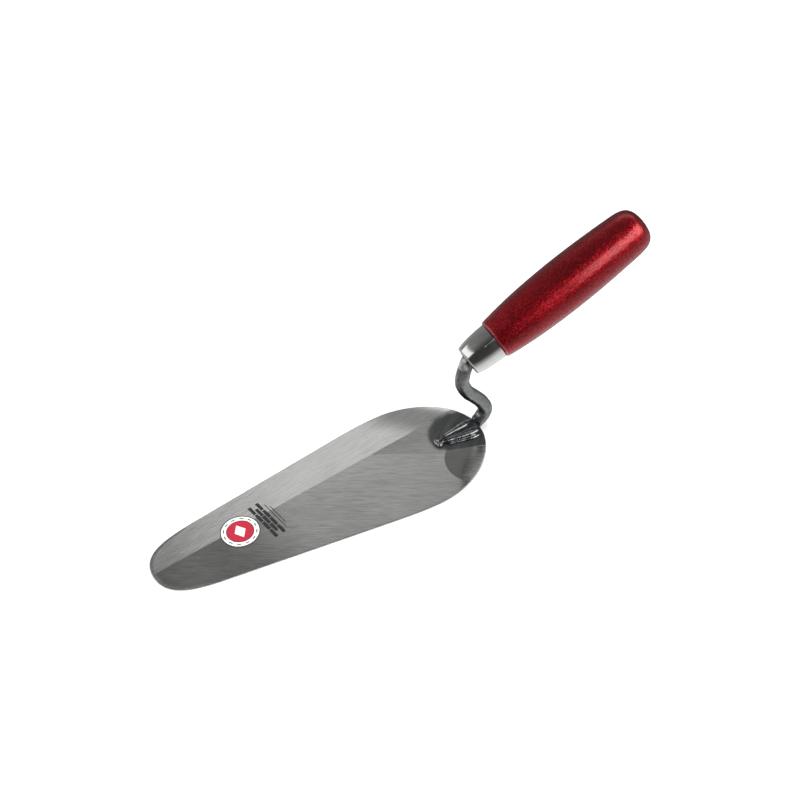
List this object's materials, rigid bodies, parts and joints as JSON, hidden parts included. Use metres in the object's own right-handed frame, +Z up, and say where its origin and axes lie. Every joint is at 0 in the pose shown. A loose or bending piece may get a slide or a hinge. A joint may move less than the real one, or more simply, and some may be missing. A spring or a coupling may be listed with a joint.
{
  "type": "brick trowel",
  "caption": "Bricklayer's trowel with a tongue-shaped ground steel blade, a swan-necked tang, a bright ferrule and a red lacquered wooden handle.",
  "frame": {"origin": "under the middle of the whole tool, on the plane of the blade's flat underside", "axes": "+X from the blade's tip to the handle's butt, +Z up out of the blade's ground face, -Y to the user's left as the user holds the handle and looks at the tip"},
  "size_m": [0.3394, 0.0824, 0.1194],
  "materials": {
    "ground_steel": "ground bright in two facets, fine lines left by the belt, clear lacquer",
    "forged_steel": "forged bar, smooth and grey, with faint hammer and scale marks",
    "dark_lacquer": "glossy charcoal lacquer over rough weld metal",
    "bright_nickel": "bright nickel plate on a drawn steel sleeve",
    "red_lacquer": "turned wood under a deep metallic red lacquer",
    "label_ink": "thin printed label: red, white and near black"
  },
  "bodies": {
    "root": {"blade": "ground_steel", "tang": "forged_steel", "weld_bead_left": "dark_lacquer", "weld_bead_right": "dark_lacquer", "weld_bead_toe": "dark_lacquer", "ferrule": "bright_nickel", "handle": "red_lacquer"}
  },
  "joints": []
}
